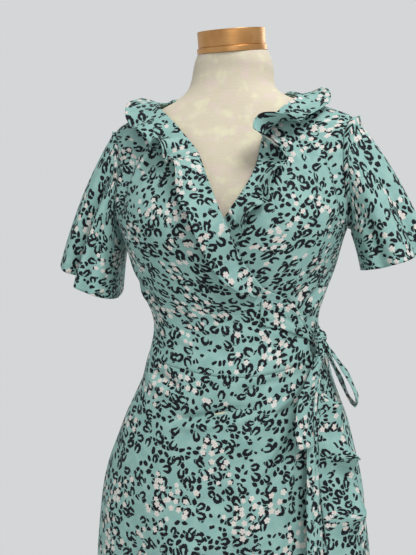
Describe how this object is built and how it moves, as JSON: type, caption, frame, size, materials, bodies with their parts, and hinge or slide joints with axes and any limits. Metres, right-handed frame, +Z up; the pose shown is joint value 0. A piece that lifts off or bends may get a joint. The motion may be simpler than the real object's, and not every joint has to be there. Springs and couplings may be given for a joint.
{
  "type": "wrap dress on a dress form stand",
  "caption": "Green wrap dress with leopard and flower print, ruffled neckline, flutter sleeves and a side bow, on a cream dress form with copper cap and stand.",
  "frame": {"origin": "middle of the base's underside, on the floor", "axes": "+Z up, the front of the dress faces -Y, the wearer's left (where it is tied) is +X"},
  "size_m": [0.6056, 0.38, 1.5375],
  "materials": {
    "crepe": "matte",
    "canvas": "matte",
    "copper": "satin",
    "steel": "satin"
  },
  "bodies": {
    "root": {"bodice_back": "crepe", "bodice_right_front": "crepe", "bodice_left_front": "crepe", "skirt_back": "crepe", "skirt_right_front": "crepe", "skirt_left_front": "crepe", "sleeve_right": "crepe", "sleeve_left": "crepe", "ruffle_right_front": "crepe", "ruffle_back_neck": "crepe", "ruffle_left_front": "crepe", "skirt_flounce": "crepe", "front_tie": "crepe", "back_tie": "crepe", "tie_knot": "crepe", "bow_long_loop": "crepe", "bow_short_loop": "crepe", "tail_front": "crepe", "tail_back": "crepe", "form_torso": "canvas", "neck_cap": "copper", "form_collar": "steel", "stand_base": "steel", "stand_pole": "steel"}
  },
  "joints": []
}
